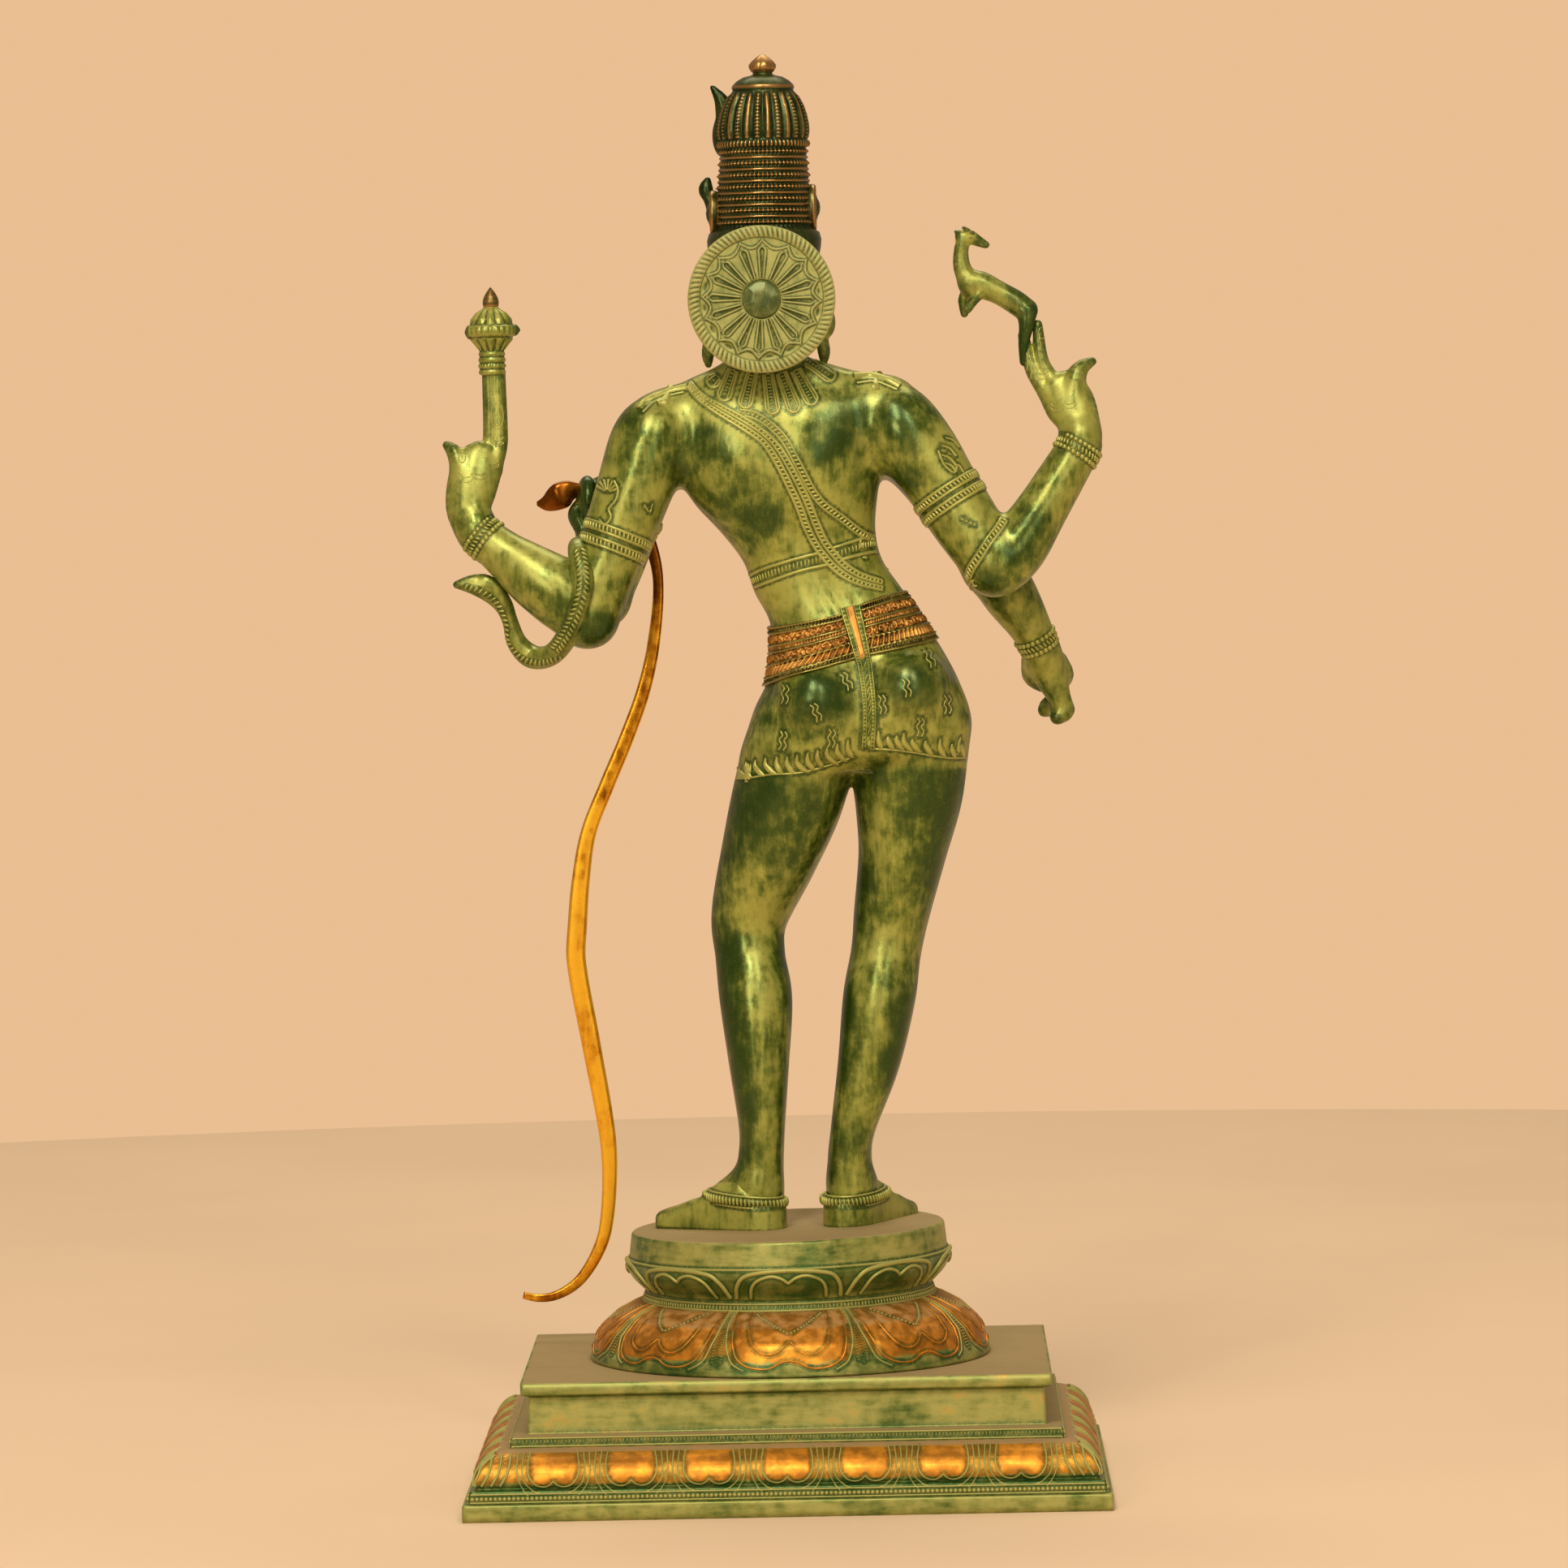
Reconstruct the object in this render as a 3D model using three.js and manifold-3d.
// A bronze temple figure with four arms, standing on a round lotus and a stepped base.
// It carries a deer, an axe and a brass bow, and a snake lies round one elbow.
// Lengths are millimetres and Z is up. The origin is the middle of the base's underside.
// The figure faces -Y and its left side is +X.
import * as THREE from 'three';
import { mergeVertices } from 'three/addons/utils/BufferGeometryUtils.js';
import Module from 'manifold-3d';

const wasm = await Module();
wasm.setup();

// Driving dimensions
const HEIGHT = 610;
const SEAT_GAP = 0.3;
const GRIP_GAP = 0.5;
// How far a join may move a corner to save a sliver
const JOIN_TOLERANCE = 0.4;

const BASE = {
  halfWidth: 135.4,
  halfDepth: 110.9,
  top: 54.6,
  petalPitch: 32.4,
  petalHeight: 12.6,
  petalRaise: 1.4,
  petalFoot: [16, 6.4],
  petalSlope: 0.7,
  // height and distance in from the plinth's edge
  profile: [
    [0, 0], [7, 0], [7.4, 2.4], [12.4, 3], [13.6, 7], [15.4, 5.8], [20, 6.6], [25, 11.2], [27.6, 16.4],
    [28, 18.6], [32.6, 19], [33, 26.8], [48.8, 27.4], [49.6, 24.2], [54.6, 24.2],
  ],
};

const LOTUS = {
  x: -1,
  top: 110,
  rise: 0.02,
  petals: 9,
  petalRaise: 1.7,
  columns: 4,
  // height, radius, and how far the petals stand proud there
  profile: [
    [BASE.top + SEAT_GAP, 85.5, 0], [60, 83, 1], [68, 79.6, 1], [74.6, 73.2, 0.8],
    [79, 64, 0], [83, 61.4, 0], [90, 66, 0.6], [95, 68.4, 0.4], [98.4, 67.6, 0], [110, 66.3, 0],
  ],
};

// Trunk stations: height, middle x, middle y, half width, half depth
const TRUNK = [
  [300, -32, -1, 46, 24], [312, -33.8, 1, 47, 29], [325, -37, 2.5, 46, 31], [340, -37.9, 2, 41.6, 30.5],
  [352, -36.3, -1, 36.9, 28], [368, -31.5, -4, 32.2, 24], [381, -24, -5, 31.6, 21.5], [394, -17.6, -4, 29.2, 20],
  [406, -12, -3.5, 32.6, 21], [420, -6.4, -3, 39.2, 24.5], [436, -3.6, -3, 45, 27], [450, -4.5, -2, 48.5, 25],
  [461, -5, 0, 50, 19.5], [468, -5, 0, 46.5, 15], [473, -5, 0, 37.5, 13], [477, -3, 0, 26, 12], [482, 0, -1, 16, 12],
  [492, 0.5, -2, 13, 12.5],
];
const TRUNK_SHAPE = 2.3;

// Leg stations: height, middle x, middle y, half width, half depth
const ANKLE_RING = 3.4;
const LEFT_LEG = [
  [322, -12, 0, 22, 26], [297, -6, -1, 24, 25], [270, 3.2, -5, 20.7, 22], [243, 12.6, -9.5, 16.2, 17.4],
  [226, 12.8, -7.5, 14.6, 16], [207, 10.6, -1.5, 15.2, 16.6], [180, 9.8, 3, 12.6, 14], [152, 9.2, 5, 9.7, 11],
  [138, 9.9, 4, 9.9, 11.4], [130, 12.5, 3.4, 12, 12], [125, 17.4, 3, 16.4, 12.6], [123.4, 19, 2.6, 18.8, 13],
];
const RIGHT_LEG = [
  [322, -58.5, 0, 24, 26], [297, -56.8, -1, 23.2, 24.5], [270, -53.4, -2, 18.6, 21], [243, -48.2, -3.5, 15.9, 17.2],
  [226, -45.4, -2.5, 14.7, 16], [207, -42.1, 1.5, 15.1, 16.6], [180, -37.2, 4, 13, 14], [152, -30, 5, 9.4, 11],
  [138, -28.1, 3.6, 9.4, 11.8], [130, -28.1, 1.6, 9.9, 13.4], [125, -30.1, 0, 12.4, 16], [123.4, -30.8, -0.4, 14.6, 17],
];

// Foot stations along its length: distance from the heel's middle, half width, top height
const FOOT = [[-10, 5, 119], [-5, 9, 122], [3, 10, 126], [14, 10.4, 128.5], [24, 11.2, 123], [36, 12, 117.4], [46, 12, 115]];
const FEET = [
  { heel: [11, 9], turn: -32, out: 1 },
  { heel: [-28, 9], turn: -115, out: -1 },
];
const TOE = { length: 7, spread: 4.9, thickness: 3.2 };

// Arm stations: x, y, z, radius
const ARMS = {
  leftRearUpper: [[46, 3, 452, 15.5], [51, 6, 445, 17], [58.8, 8, 423, 15.8], [68.6, 10, 398, 14], [75.5, 11, 381, 13.8],
    [78.5, 12, 371, 12.6], [79.5, 12, 362.4, 7]],
  leftRearFore: [[77, 12, 371, 8], [84, 12, 377, 13.4], [92, 12, 384, 14.8], [102, 11, 391, 12.8], [113, 9, 399.5, 10],
    [124, 7, 408.5, 8.6], [127, 6, 413, 8.4]],
  rightRearUpper: [[-51, 2, 456, 15.5], [-57, 5, 449, 17], [-65.5, 6, 437.5, 16.2], [-73, 7, 425.6, 15], [-82, 9, 411, 14.4],
    [-89.5, 11, 399.5, 13.6], [-95, 12, 391.5, 12.8], [-97.5, 12, 387, 8]],
  rightRearFore: [[-93, 12, 387.5, 8], [-97.5, 12, 391, 12.8], [-105.6, 11, 399.5, 12.6], [-114.8, 10, 413, 11],
    [-123.8, 8, 427, 10], [-132.6, 6, 441, 9.2], [-134, 5, 446, 8.6]],
  leftFrontUpper: [[42, -6, 452, 13], [48, -9, 445, 15], [58.5, -14, 418, 13.2], [66.5, -18, 396, 12.4], [73, -21, 381, 12],
    [74.5, -23, 375.5, 8]],
  leftFrontFore: [[73.5, -16, 374, 8], [74, -22, 378, 12], [75, -37, 386.5, 11], [75, -51, 396, 10], [75.5, -62, 404, 9]],
  rightFrontUpper: [[-48, -6, 454, 14], [-56, -10, 445, 15], [-71, -15, 425, 13.2], [-83.6, -19, 406, 12.4],
    [-93, -21, 391, 12.2], [-97, -22, 384, 9]],
  rightFrontFore: [[-90, -18, 392, 8], [-96, -21, 386, 12], [-102.5, -24, 376, 11.4], [-109.4, -27, 364.5, 9.2],
    [-114.4, -30, 354, 7.6], [-116, -32, 349, 7.2]],
};

// Palm stations: x, y, z, half width across the picture, half thickness
const PALMS = [
  [[124.5, 7, 409, 8.6, 7.6], [128.4, 5, 419, 9.6, 7], [126.8, 3, 429, 10.8, 6.6], [124, 1, 438, 10.4, 5.6], [121, 0, 443, 7, 4]],
  [[-133.6, 6, 443, 8.8, 7.6], [-133, 4, 451, 9.6, 7], [-128.4, 2, 459, 10.8, 6.4], [-123.5, 0, 466.5, 9, 5]],
  [[-115, -31, 353, 7.4, 6.8], [-118, -34, 344, 9.4, 7], [-120, -37, 336, 9.4, 7], [-121, -38, 330, 6.4, 4.6]],
  [[75.6, -60, 403, 8.6, 8], [76.4, -64, 409.5, 9.6, 9.6], [75, -67, 416, 12.4, 10.4], [73, -67, 423, 10.6, 8.4], [72, -67, 428, 6, 5]],
];

// Finger stations: x, y, z, radius
const FINGERS = [
  // two upright fingers side by side and the thumb that hold the axe, and the bent ones
  [[119.6, 1, 435, 6.4, 3.6], [116.4, -2, 453, 5.4, 3.4], [116.9, -3, 478, 5.2, 3.4]],
  [[130, 3, 430, 5], [133, 2, 440, 4], [137.8, 0, 447.2, 2]],
  [[126, 2, 437, 5, 3.2], [125, -8, 441, 5, 3.4], [124.6, -8, 431, 4, 2.4]],
  // two fingers side by side that hold the deer, the thumb, and the bent ones
  [[-122.6, 1, 461, 6.4, 3.8], [-114.4, -2, 476, 6.4, 3.4], [-112.8, -4, 491, 5.6, 2.6]],
  [[-130, 3, 460, 5], [-130.6, 2, 470.4, 4.8], [-137.6, 0, 476.6, 2.2]],
  [[-128.6, 2, 461, 5, 3.4], [-129.6, -8, 466, 5, 3.4], [-132.6, -8, 456, 4, 2.4]],
  // the lowered hand, with its fingers drawn in
  [[-112, -36, 345, 4], [-122.4, -42, 326, 4], [-115.6, -36, 324, 2.8]],
  [[-121.4, -35, 343, 5, 3.8], [-126, -40, 334, 4.6, 3.6], [-122, -38, 325.4, 3.8, 2.6]],
  [[-110, -33, 349, 3.8], [-108.4, -38, 342.5, 3.6], [-112.4, -42, 337, 2.8]],
  // the fist round the bow
  [[69, -70, 422, 7, 3.8], [68.6, -60, 428, 7, 3.6], [69, -53.4, 421, 6.6, 3.2], [70.6, -53.6, 413, 5.6, 2.6]],
  [[81, -69, 420, 7, 3.8], [81.6, -60, 427, 7, 3.6], [81.4, -53.6, 421, 6.6, 3.2], [80, -52.6, 412, 5.6, 2.6]],
];

// Rings worn on the arms: where each starts and ends along the limb, and how far it stands out
const CUFFS = {
  leftRearUpper: [[2.12, 2.34, 1.4], [2.42, 2.64, 1.4]],
  rightRearUpper: [[2.9, 3.15, 1.4], [3.25, 3.55, 1.4]],
  leftRearFore: [[4.6, 5.5, 1.4]],
  rightRearFore: [[4.6, 5.1, 1.4]],
  rightFrontFore: [[3.3, 4.2, 1.3]],
  leftFrontFore: [[3.3, 3.9, 1.3]],
};

// Bands round the trunk: lower edge, upper edge and how far they stand out, at the trunk's middle line
const BANDS = [[311, 316.6, 1.4], [352, 361.2, 1.7], [363, 372, 1.7], [389.2, 393.8, 1.5]];
const BAND_EDGE = 0.5;
// How the trunk's levels slant: height, and rise for each millimetre towards -X
const SLANT = [[300, 0.04], [320, 0.06], [345, 0.13], [368, 0.15], [391, 0.26], [415, 0.14], [440, 0], [492, 0]];

// The sacred thread: x, z and the side of the trunk it lies on
const THREAD = [
  [30, 463, 1], [19, 457, 1], [8, 450, 1], [-1, 441, 1], [-8, 427, 1], [-13, 413, 1], [-18, 402, 1], [-26, 392.5, 1],
  [-38, 387, 1], [-50, 385, 1],
];

const DISC = { x: 1.5, y: 26.5, z: 505.6, radius: 31.2, hub: 7.6 };
const CROWN = {
  x: 0.4,
  lean: -0.012,
  // height and radius
  lower: [[520, 0], [520, 22], [528, 24.4], [534, 23.6]],
  rings: { from: 537, to: 562, count: 4, pitch: 8.4, low: 20.4, high: 18, groove: 1.5 },
  upper: [[570, 17.8], [571.4, 19.6], [580, 18.8], [588, 17], [594.6, 12.6], [597, 12.8], [600.6, 8.6], [601.4, 4.4],
    [604.8, 5.7], [608.2, 4.2], [HEIGHT, 0]],
};

// The bow's middle line at one distance in front of the trunk: x, z, half width
const BOW = {
  y: -66,
  depthShare: 0.72,
  line: [
    [102.4, 419.8, 0.9], [97.8, 420.2, 3.9], [92.2, 423, 5.9], [88.6, 424.9, 4.9], [85, 425.5, 3.2], [81.5, 425.2, 2],
    [76.4, 424.9, 1.9], [68.2, 421.6, 2.4], [60.1, 412.9, 2.9], [53.9, 402.7, 2.8], [50.4, 385, 2.3], [53, 357.9, 2.7], [57.9, 337.5, 3],
    [65.7, 317.1, 3.2], [74.7, 296.7, 3.3], [83.1, 276.3, 3.4], [86.9, 255.9, 3.9], [88.9, 235.5, 4.2], [89.7, 220.2, 4.2], [84.1, 184.5, 4.1],
    [77.8, 143.8, 3.6], [77.3, 123.4, 3.2], [79.5, 103, 2.9], [83.1, 92.8, 2.7], [89.5, 82.6, 2.4], [95.3, 77.3, 2.2],
    [102.9, 73.7, 1.9], [110, 73.1, 1.7], [116.1, 74.4, 1.5],
  ],
};

const AXES = [new THREE.Vector3(0, 1, 0), new THREE.Vector3(1, 0, 0), new THREE.Vector3(0, 0, 1)];
const NEARLY_ALONG = 0.85;
const CUFF_EDGE = 0.05;

// Keeps positions only, merges shared corners and drops triangles with no area.
function weld(geometry) {
  const bare = new THREE.BufferGeometry();
  bare.setAttribute('position', geometry.attributes.position);
  bare.setIndex(geometry.index);
  const merged = mergeVertices(bare, 1e-4);
  const corners = merged.index.array;
  const kept = [];
  for (let i = 0; i < corners.length; i += 3) {
    const [a, b, c] = [corners[i], corners[i + 1], corners[i + 2]];
    if (a !== b && b !== c && c !== a) kept.push(a, b, c);
  }
  merged.setIndex(kept);
  return merged;
}

// Turns the triangles round where the surface would face inwards.
function faceOut(geometry) {
  const place = geometry.attributes.position;
  const corners = geometry.index.array;
  const [a, b, c] = [new THREE.Vector3(), new THREE.Vector3(), new THREE.Vector3()];
  let volume = 0;
  for (let i = 0; i < corners.length; i += 3) {
    a.fromBufferAttribute(place, corners[i]);
    b.fromBufferAttribute(place, corners[i + 1]);
    c.fromBufferAttribute(place, corners[i + 2]);
    volume += a.dot(b.cross(c));
  }
  if (volume < 0) corners.reverse();
  return geometry;
}

function solid(geometry) {
  const closed = faceOut(weld(geometry));
  return new wasm.Manifold(new wasm.Mesh({
    numProp: 3,
    tolerance: JOIN_TOLERANCE,
    vertProperties: new Float32Array(closed.attributes.position.array),
    triVerts: new Uint32Array(closed.index.array),
  }));
}

function join(geometries) {
  return geometries.map(solid).reduce((whole, piece) => whole.add(piece));
}

function surfaceOf(body) {
  const { vertProperties, triVerts } = body.getMesh();
  const geometry = new THREE.BufferGeometry();
  geometry.setAttribute('position', new THREE.BufferAttribute(new Float32Array(vertProperties), 3));
  geometry.setIndex(new THREE.BufferAttribute(new Uint32Array(triVerts), 1));
  geometry.computeVertexNormals();
  return geometry;
}

// Reads a table of stations, sorted by its first column, on a smooth curve through its rows.
function reader(rows) {
  const rising = rows[0][0] < rows[rows.length - 1][0];
  const table = rising ? rows : [...rows].reverse();
  const last = table.length - 1;
  const slope = (i, column) => {
    const before = table[Math.max(i - 1, 0)];
    const after = table[Math.min(i + 1, last)];
    return (after[column] - before[column]) / (after[0] - before[0]);
  };
  return (key) => {
    let i = 0;
    while (i < last - 1 && table[i + 1][0] < key) i += 1;
    const span = table[i + 1][0] - table[i][0];
    const t = THREE.MathUtils.clamp((key - table[i][0]) / span, 0, 1);
    return table[i].slice(1).map((value, n) => {
      const column = n + 1;
      const next = table[i + 1][column];
      return value * (2 * t ** 3 - 3 * t ** 2 + 1) + next * (3 * t ** 2 - 2 * t ** 3)
        + span * slope(i, column) * (t ** 3 - 2 * t ** 2 + t) + span * slope(i + 1, column) * (t ** 3 - t ** 2);
    });
  };
}

function power(value, exponent) {
  return Math.sign(value) * Math.abs(value) ** exponent;
}

// Moves a closed unit cylinder's corners: place(t, angle, reach) says where each one goes.
function sweep(sides, steps, place) {
  const geometry = new THREE.CylinderGeometry(1, 1, 1, sides, steps);
  const corners = geometry.attributes.position;
  for (let i = 0; i < corners.count; i += 1) {
    const reach = Math.hypot(corners.getX(i), corners.getZ(i));
    const angle = Math.atan2(corners.getZ(i), corners.getX(i));
    corners.setXYZ(i, ...place(0.5 - corners.getY(i), angle, reach));
  }
  return geometry;
}

// A body with level sections, read from a table of heights.
function stack(rows, sides, steps) {
  const at = reader(rows);
  const [first, last] = [rows[0][0], rows[rows.length - 1][0]];
  return sweep(sides, steps, (t, angle, reach) => {
    const z = THREE.MathUtils.lerp(first, last, t);
    const [x, y, a, b] = at(z);
    return [x + reach * a * Math.cos(angle), y + reach * b * Math.sin(angle), z];
  });
}

// The axis that a limb's flat way is measured from: one that no stretch of the limb runs along.
function asideOf(rows) {
  const ways = rows.slice(1).map((row, i) => new THREE.Vector3(...row.slice(0, 3))
    .sub(new THREE.Vector3(...rows[i].slice(0, 3))).normalize());
  const worst = (axis) => Math.max(...ways.map((way) => Math.abs(way.dot(axis))));
  return AXES.find((axis) => worst(axis) < NEARLY_ALONG) ?? AXES[1];
}

// Places along a body where it has a section, each with its lift: the plain ones, and both edges of each ring.
function sectionKeys(plain, cuffs, edge) {
  const clear = plain.filter((key) => cuffs.every(([start, end]) => key < start - edge || key > end + edge));
  const edges = cuffs.flatMap(([start, end, lift]) => [
    [start, 0], [start + edge, lift], [end - edge, lift], [end, 0],
  ]);
  return [...clear.map((key) => [key, 0]), ...edges].sort((one, other) => one[0] - other[0]);
}

// A body with sections square to its middle line. A fifth column makes it flatter along Y.
function limb(rows, sides, steps, { from = 0, to = rows.length - 1, cuffs = [] } = {}) {
  const at = reader(rows.map(([x, y, z, a, b = a], i) => [i, x, y, z, a, b]));
  const aside = asideOf(rows);
  const even = Array.from({ length: steps + 1 }, (_, i) => THREE.MathUtils.lerp(from, to, i / steps));
  const keys = sectionKeys(even, cuffs, CUFF_EDGE);
  return sweep(sides, keys.length - 1, (t, angle, reach) => {
    const [key, lift] = keys[Math.round(t * (keys.length - 1))];
    const [x, y, z, a, b] = at(key);
    const before = new THREE.Vector3(...at(Math.max(key - 0.05, 0)));
    const along = new THREE.Vector3(...at(Math.min(key + 0.05, rows.length - 1))).sub(before).normalize();
    const across = aside.clone().cross(along).normalize();
    const deep = along.clone().cross(across);
    return new THREE.Vector3(x, y, z)
      .addScaledVector(across, reach * (a + lift) * Math.cos(angle))
      .addScaledVector(deep, reach * (b + lift) * Math.sin(angle))
      .toArray();
  });
}

function ball(x, y, z, a, b, c, around = 8, down = 5) {
  return new THREE.SphereGeometry(1, around, down).rotateX(Math.PI / 2).scale(a, b, c).translate(x, y, z);
}

// Points along an arc, both ends included.
function arc(x, y, radius, from, to, steps) {
  return Array.from({ length: steps + 1 }, (_, i) => {
    const angle = THREE.MathUtils.lerp(from, to, i / steps);
    return new THREE.Vector2(x + radius * Math.cos(angle), y + radius * Math.sin(angle));
  });
}

function turned(profile, segments) {
  const points = profile.map(([height, radius]) => new THREE.Vector2(radius, height));
  return new THREE.LatheGeometry(points, segments).rotateX(Math.PI / 2);
}

const trunkAt = reader(TRUNK);

// A point of the trunk's surface at x and z, on its back for side 1 or its front for side -1.
function onTrunk(x, z, side, lift = 0) {
  const [middle, y, a, b] = trunkAt(z);
  const across = Math.min(Math.abs((x - middle) / a), 0.98);
  return [x, y + side * (b * (1 - across ** TRUNK_SHAPE) ** (1 / TRUNK_SHAPE) + lift), z];
}

// The trunk, with levels that slant with the hips and its bands as part of the same skin.
function trunk(sides) {
  const slantAt = reader(SLANT);
  const bands = BANDS.map(([low, high, lift]) => [low - BAND_EDGE, high + BAND_EDGE, lift]);
  const keys = sectionKeys(TRUNK.map(([height]) => height), bands, BAND_EDGE);
  return sweep(sides, keys.length - 1, (t, angle, reach) => {
    const [level, lift] = keys[Math.round(t * (keys.length - 1))];
    const [middle] = trunkAt(level);
    const [rise] = slantAt(level);
    let z = level;
    let place = [];
    for (let round = 0; round < 4; round += 1) {
      const [x, y, a, b] = trunkAt(z);
      const across = reach * (a + lift) * power(Math.cos(angle), 2 / TRUNK_SHAPE);
      const deep = reach * (b + lift) * power(Math.sin(angle), 2 / TRUNK_SHAPE);
      z = level - rise * (x + across - middle);
      place = [x + across, y + deep, z];
    }
    return place;
  });
}

// A leg, ending in the ring round its ankle.
function leg(rows) {
  const [bottom, ...middle] = rows[rows.length - 1];
  return stack([...rows, [bottom - ANKLE_RING, ...middle]], 10, 9);
}

function foot({ heel, turn, out }) {
  const direction = THREE.MathUtils.degToRad(turn);
  const along = new THREE.Vector2(Math.cos(direction), Math.sin(direction));
  const across = new THREE.Vector2(-along.y, along.x);
  const at = reader(FOOT);
  const [first, last] = [FOOT[0][0], FOOT[FOOT.length - 1][0]];
  const place = (forward, sideways, z) => [
    heel[0] + along.x * forward + across.x * sideways, heel[1] + along.y * forward + across.y * sideways, z,
  ];
  const sole = LOTUS.top - 4;
  const body = sweep(8, 5, (t, angle, reach) => {
    const forward = THREE.MathUtils.lerp(first, last, t);
    const [half, top] = at(forward);
    const z = sole + (top - sole) * reach * Math.max(Math.sin(angle), -0.2);
    return place(forward, reach * half * Math.cos(angle), z);
  });
  const toes = [[-1.6 * out, 3.5, 4.6], [0.9 * out, 1, 7]].map(
    ([n, reach, size]) => limb([[last - 8, 1], [last + reach + TOE.length, 0.72]].map(([forward, scale]) => [
      ...place(forward, n * TOE.spread, LOTUS.top + 1.6), size * scale, TOE.thickness * scale,
    ]), 6, 1));
  return [body, ...toes];
}

function lotus() {
  const { profile, petals, columns, petalRaise, rise, top, x } = LOTUS;
  const bottom = profile[0][0];
  const closed = [[bottom, 0], ...profile, [top, 0]];
  const geometry = turned(closed.map(([z, radius]) => [z, radius]), petals * columns);
  const corners = geometry.attributes.position;
  const proud = new Map(profile.map(([z, , share]) => [z.toFixed(2), share]));
  for (let i = 0; i < corners.count; i += 1) {
    const [px, py, z] = [corners.getX(i), corners.getY(i), corners.getZ(i)];
    const radius = Math.hypot(px, py);
    const share = proud.get(z.toFixed(2)) ?? 0;
    const turn = (Math.atan2(py, px) / (2 * Math.PI) - 0.25) * petals;
    const fromMiddle = Math.abs(turn - Math.round(turn));
    const lobe = fromMiddle > 0.42 ? 0 : 1;
    const scale = radius > 0 ? 1 + (petalRaise * share * lobe) / radius : 1;
    const lift = rise * -px * ((z - bottom) / (top - bottom));
    corners.setXYZ(i, x + px * scale, py * scale, z + lift);
  }
  return geometry;
}

function head() {
  const y = -5;
  const ears = [-1, 1].map((side) => limb(
    [[side * 19, 0, 516, 2.6], [side * 21.4, 0, 508, 3.6], [side * 22.4, 0, 497, 2.6], [side * 24.6, -1, 484, 2.8], [side * 24.6, -1, 478.6, 1.4]]
      .map(([ex, ...rest]) => [ex + 0.5, ...rest]), 5, 4));
  const eyes = [-1, 1].map((side) => ball(0.5 + side * 7.6, y - 18.4, 507.6, 5, 2.6, 2.2, 5, 3));
  return [
    ball(0.5, y, 508, 20.6, 21.4, 25.6, 10, 7),
    ball(0.5, y - 7, 492, 13, 13, 11.6, 10, 6),
    limb([[0.5, y - 19, 514, 2], [0.5, y - 23, 501, 3.6], [0.5, y - 18, 497.6, 3]], 5, 2),
    ball(0.5, y - 18.4, 493, 5.4, 3, 2.4, 5, 3),
    ball(22.6, -4, 494.6, 3.4, 5, 5.6, 6, 4),
    ball(-24.6, -2, 495.6, 4.8, 5, 7.4, 6, 4),
    ...ears, ...eyes,
  ];
}

function crown() {
  const { lower, rings, upper, x, lean } = CROWN;
  const ridges = [];
  for (let i = 0; i < rings.count; i += 1) {
    const share = i / (rings.count - 1);
    const z = THREE.MathUtils.lerp(rings.from, rings.to, share);
    const radius = THREE.MathUtils.lerp(rings.low, rings.high, share);
    ridges.push([z, radius], [z + rings.pitch / 2, radius + rings.groove]);
  }
  const geometry = turned([...lower, ...ridges, ...upper], 12);
  const corners = geometry.attributes.position;
  const foot = lower[0][0];
  for (let i = 0; i < corners.count; i += 1) {
    const z = corners.getZ(i);
    corners.setXYZ(i, corners.getX(i) + x + lean * (z - foot), corners.getY(i) - 4, z);
  }
  const sideDiscs = [[21.4, 542.6], [-20.4, 544.4]].map(([dx, dz]) => ball(dx, -4, dz, 3.6, 8.6, 10.4, 6, 4));
  return [
    geometry, ...sideDiscs,
    limb([[15, -8, 583, 5, 3], [17.2, -8, 590.6, 3.2, 2.6], [21, -8, 596.4, 1.2, 1.2]], 5, 2),
    ball(17.2, -9, 575.6, 4.4, 5, 9, 6, 5),
    limb([[18.6, -8, 538, 5], [23, -10, 548, 2.6], [24.8, -11, 553, 3.2], [24, -11, 557, 1.6]], 5, 3),
  ];
}

function discAndLocks() {
  const { x, y, z, radius, hub } = DISC;
  const profile = [[-2, 0], [-2, radius - 1.4], [1, radius], [3, radius - 2], [1, radius - 5], [1, hub + 2], [4, hub * 0.7],
    [5.2, 0]];
  const disc = turned(profile, 18).rotateX(-Math.PI / 2).translate(x, y, z);
  const stem = limb([[x, 8, z - 1, 9], [x, y, z - 1, 8]], 8, 1);
  const locks = [[27, 467], [20, 461.6], [10, 460.4], [0, 458.6], [-10.6, 459.4], [-18.6, 462], [-27, 472]].map(([lx, lz]) => {
    const root = [lx * 0.5, 480];
    return limb([root, [lx, lz]].map(([px, pz]) => [...onTrunk(px, pz, 1, 0.2), 2.2]), 4, 1);
  });
  return [disc, stem, ...locks];
}

function shoulderTufts() {
  return [
    limb([[38, 0, 469.6, 3.4], [46, 0, 467, 3.6], [56, 0, 459, 3.6]], 5, 3),
    limb([[-38, -1, 472, 3.4], [-46, -1, 472, 3.8], [-57, -1, 466.6, 3.8]], 5, 3),
  ];
}

function strap() {
  const rows = [[-33.4, 372], [-34.6, 358], [-36.4, 344], [-38, 330], [-38.8, 319]].map(([x, z]) => [
    ...onTrunk(x, z, 1, 0.6), 4, 1.8,
  ]);
  return limb(rows, 5, 4);
}

function thread() {
  return limb(THREAD.map(([x, z, side]) => [...onTrunk(x, z, side, 0.1), 2.8, 1.7]), 4, 8);
}

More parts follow.
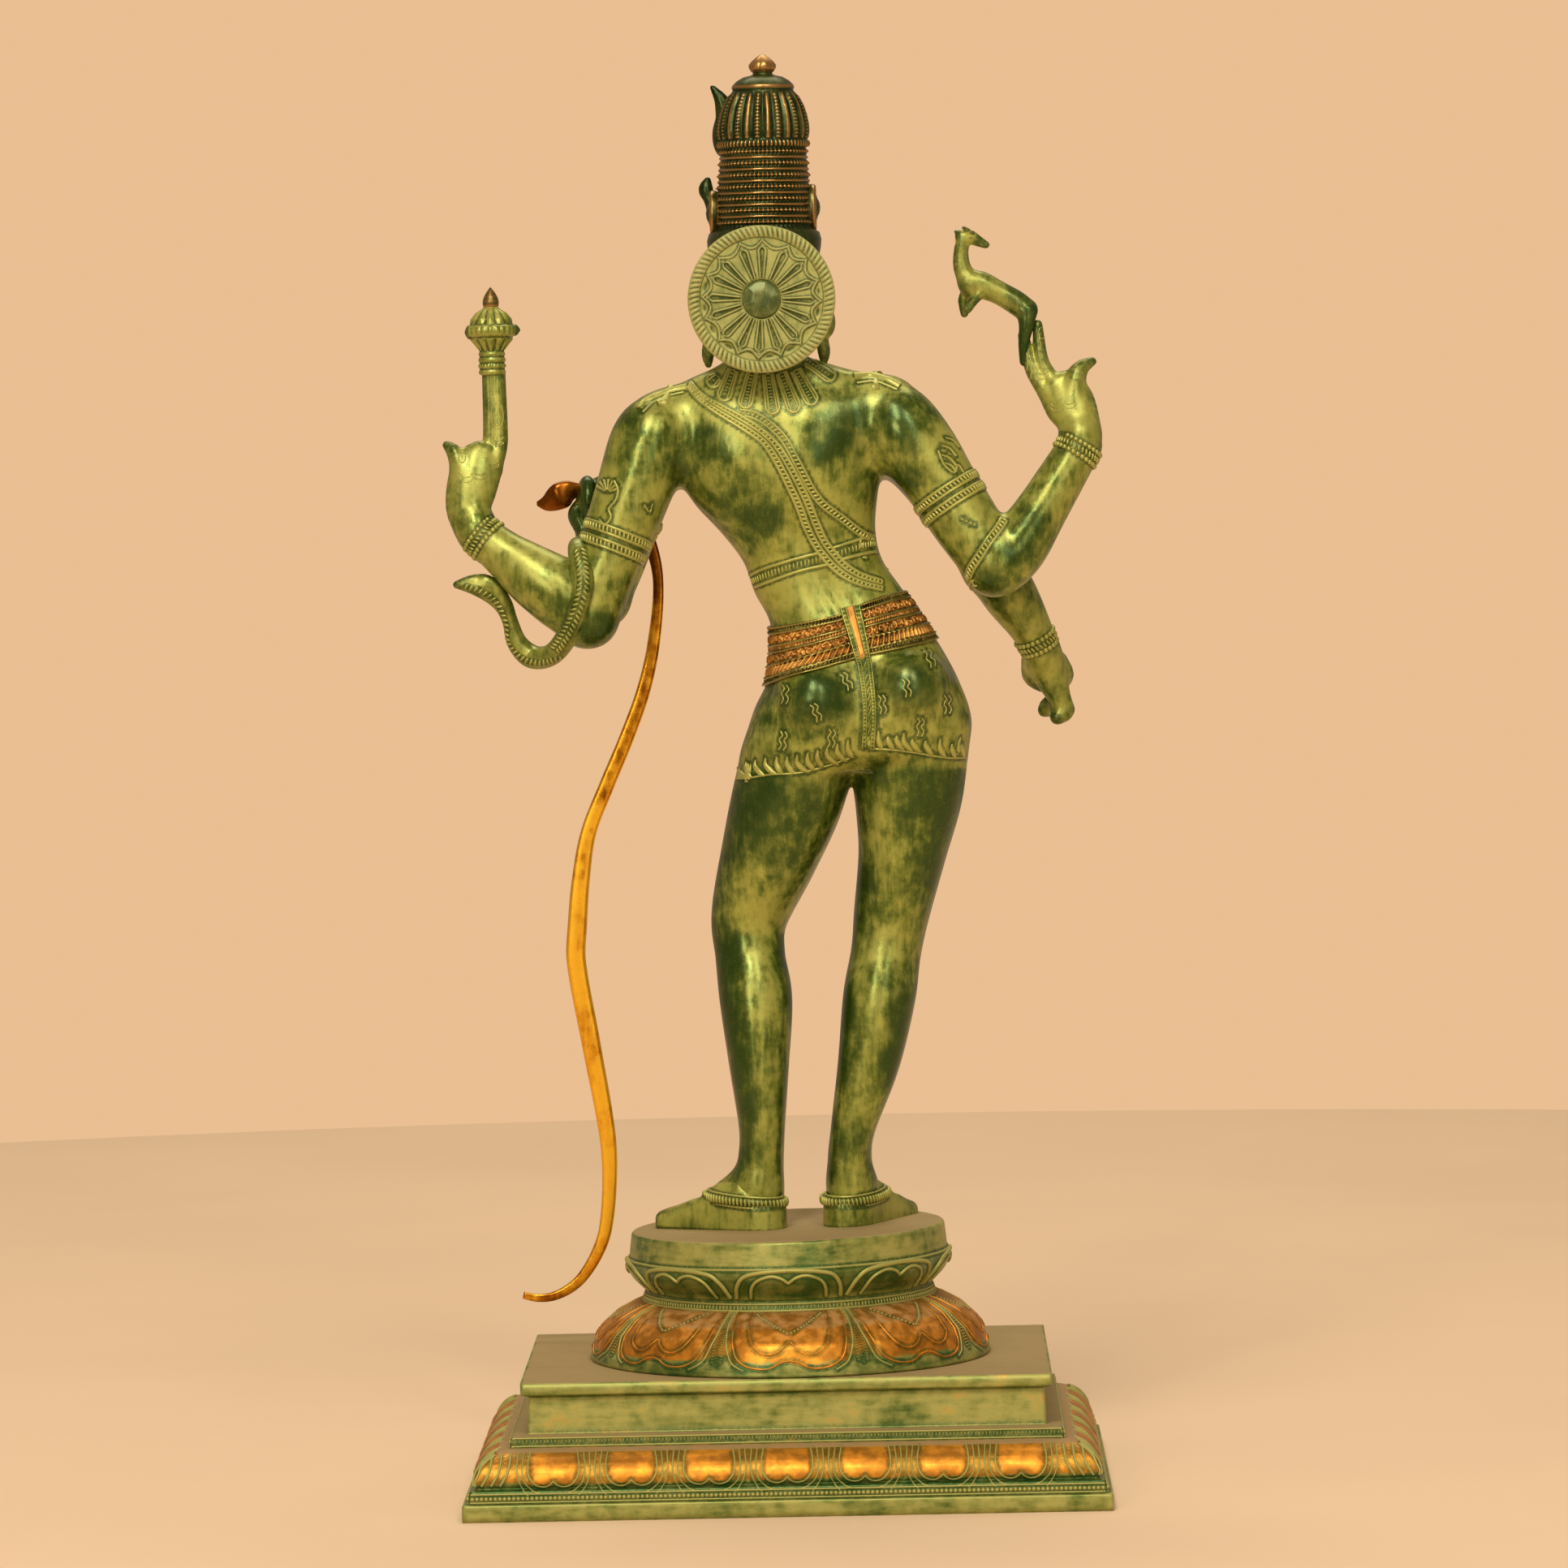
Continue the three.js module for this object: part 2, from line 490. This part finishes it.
function axe() {
  const profile = [[476, 0], [476, 5.6], [486, 5.2], [491.6, 8.8], [492.4, 10.2], [497.4, 9.8], [501.4, 7.6], [505.2, 3],
    [508.6, 3.6], [513.4, 0]];
  const shape = new THREE.Shape([new THREE.Vector2(0, -3.4), ...arc(6, 0, 12, -0.85, 0.85, 4), new THREE.Vector2(0, 3.4)]);
  const blade = new THREE.ExtrudeGeometry(shape, { depth: 2.4, bevelEnabled: false });
  return [
    turned(profile, 10).translate(117.4, -3, 0),
    blade.translate(0, 0, -1.2).rotateX(Math.PI / 2).rotateZ(-Math.PI / 2).translate(117.4, -10, 494.5),
    ball(127, -3, 494.4, 1.8, 3, 3, 6, 4),
    ball(108.4, -3, 495, 2, 2.6, 2.6, 6, 4),
  ];
}

function deer() {
  return [
    limb([[-84.6, -3, 508.6, 3.8], [-89.6, -3, 508.6, 6, 4.8], [-102, -3, 503.8, 5.6, 4.6], [-109, -3, 500, 6, 5],
      [-113, -3, 497.4, 3, 3]], 7, 4),
    limb([[-88.4, -3, 508, 5, 4], [-85.4, -3, 517, 4.2, 3.6], [-85.2, -3, 529, 3.6, 3]], 6, 3),
    limb([[-82.4, -3, 532.4, 2.6], [-86, -3, 531.2, 3.8, 3.4], [-94.2, -3, 527, 1.6]], 6, 2),
    limb([[-83, -3, 532, 1.6], [-81, -3, 535.4, 0.7]], 4, 1),
    limb([[-109.4, -3, 499, 5], [-108.6, -3, 490, 3.8], [-110, -3, 480, 3]], 5, 2),
    limb([[-86, -3, 507, 3.4], [-82.8, -3, 503.4, 2.2], [-83.4, -3, 497.4, 1.6]], 4, 2),
  ];
}

function snake() {
  return limb([
    [82, 0, 402, 3], [84, 12, 402.6, 4.2], [84.4, 22, 397, 4.4], [84, 26, 387, 4.4], [86.4, 25, 375, 4.6], [90.4, 18, 363.6, 4.8],
    [96, 8, 356.4, 5.2], [103.6, 3, 356, 5.2], [110, 3, 362.4, 4.2], [112.6, 4, 372.4, 3.6], [115.4, 6, 379, 3.8], [121, 8, 385, 4.6],
    [128, 8, 388.6, 4.2], [134.4, 8, 388, 1.8],
  ], 5, 15);
}

function figure() {
  const pieces = [
    lotus(),
    trunk(14), leg(LEFT_LEG), leg(RIGHT_LEG),
    ball(-17.5, 13.4, 334.6, 19, 19.6, 19, 10, 6), ball(-56, 13.4, 338, 20, 19.6, 19.6, 10, 6),
    ball(18, -20, 432, 20, 10, 14), ball(-27, -20, 434, 20, 10, 14),
    ...FEET.flatMap(foot),
    ...Object.entries(ARMS).map(([name, rows]) => limb(rows, 8, 4, { cuffs: CUFFS[name] ?? [] })),
    ...PALMS.map((rows) => limb(rows, 7, 3)),
    ...FINGERS.map((rows) => limb(rows, 5, 2)),
    ...head(), ...crown(), ...discAndLocks(), ...shoulderTufts(),
    strap(), thread(),
    ...axe(), ...deer(), snake(),
  ];
  const grip = limb(bowRows(GRIP_GAP), 6, 12, { from: 4, to: 12 });
  return join(pieces).subtract(solid(grip));
}

// Stations of the bow, grown all round by a margin.
function bowRows(margin = 0) {
  return BOW.line.map(([x, z, half]) => [x, BOW.y, z, half + margin, half * BOW.depthShare + margin]);
}

function bow() {
  return solid(limb(bowRows(), 6, BOW.line.length - 1));
}

// A petal with a notch between two rounded tips, as a plate that faces +Z.
function petalPlate() {
  const { petalPitch, petalHeight, petalRaise } = BASE;
  const half = petalPitch * 0.34;
  const sink = 3;
  const outline = [
    [-half, petalHeight], [-half, petalHeight * 0.26], [-half * 0.5, 0], [0, petalHeight * 0.22],
    [half * 0.5, 0], [half, petalHeight * 0.26], [half, petalHeight],
  ];
  const shape = new THREE.Shape(outline.map(([x, y]) => new THREE.Vector2(x, y)));
  return new THREE.ExtrudeGeometry(shape, { depth: petalRaise + sink, bevelEnabled: false }).translate(0, 0, -sink);
}

function steppedBase() {
  const { profile, halfWidth, halfDepth, petalPitch, petalFoot, petalSlope } = BASE;
  const body = sweep(4, profile.length - 1, (t, angle, reach) => {
    const [z, inset] = profile[Math.round(t * (profile.length - 1))];
    const corner = angle + Math.PI / 4;
    const [sx, sy] = [Math.sign(Math.cos(corner)), Math.sign(Math.sin(corner))];
    return [reach * sx * (halfWidth - inset), reach * sy * (halfDepth - inset), z];
  });
  const petals = [0, 1, 2, 3].flatMap((side) => {
    const [reach, out] = side % 2 === 0 ? [halfWidth, halfDepth] : [halfDepth, halfWidth];
    const count = side % 2 === 0 ? 7 : 5;
    const pitch = side % 2 === 0 ? petalPitch : (2 * (reach - 6)) / (count + 1);
    return Array.from({ length: count }, (_, n) => petalPlate()
      .rotateX(Math.PI / 2)
      .rotateZ(Math.PI)
      .rotateX(petalSlope)
      .translate((n - (count - 1) / 2) * pitch, out - petalFoot[1], petalFoot[0])
      .rotateZ((side * Math.PI) / 2));
  });
  return join([body, ...petals]);
}

function named(name, body, finish) {
  const mesh = new THREE.Mesh(surfaceOf(body), new THREE.MeshStandardMaterial(finish));
  mesh.name = name;
  return mesh;
}

const statue = new THREE.Group();
statue.add(
  named('figure_on_lotus', figure(), { color: '#7d8445', roughness: 0.42, metalness: 0.6 }),
  named('stepped_base', steppedBase(), { color: '#868a52', roughness: 0.5, metalness: 0.6 }),
  named('bow', bow(), { color: '#c07a1e', roughness: 0.3, metalness: 0.9 }),
);
export default statue;
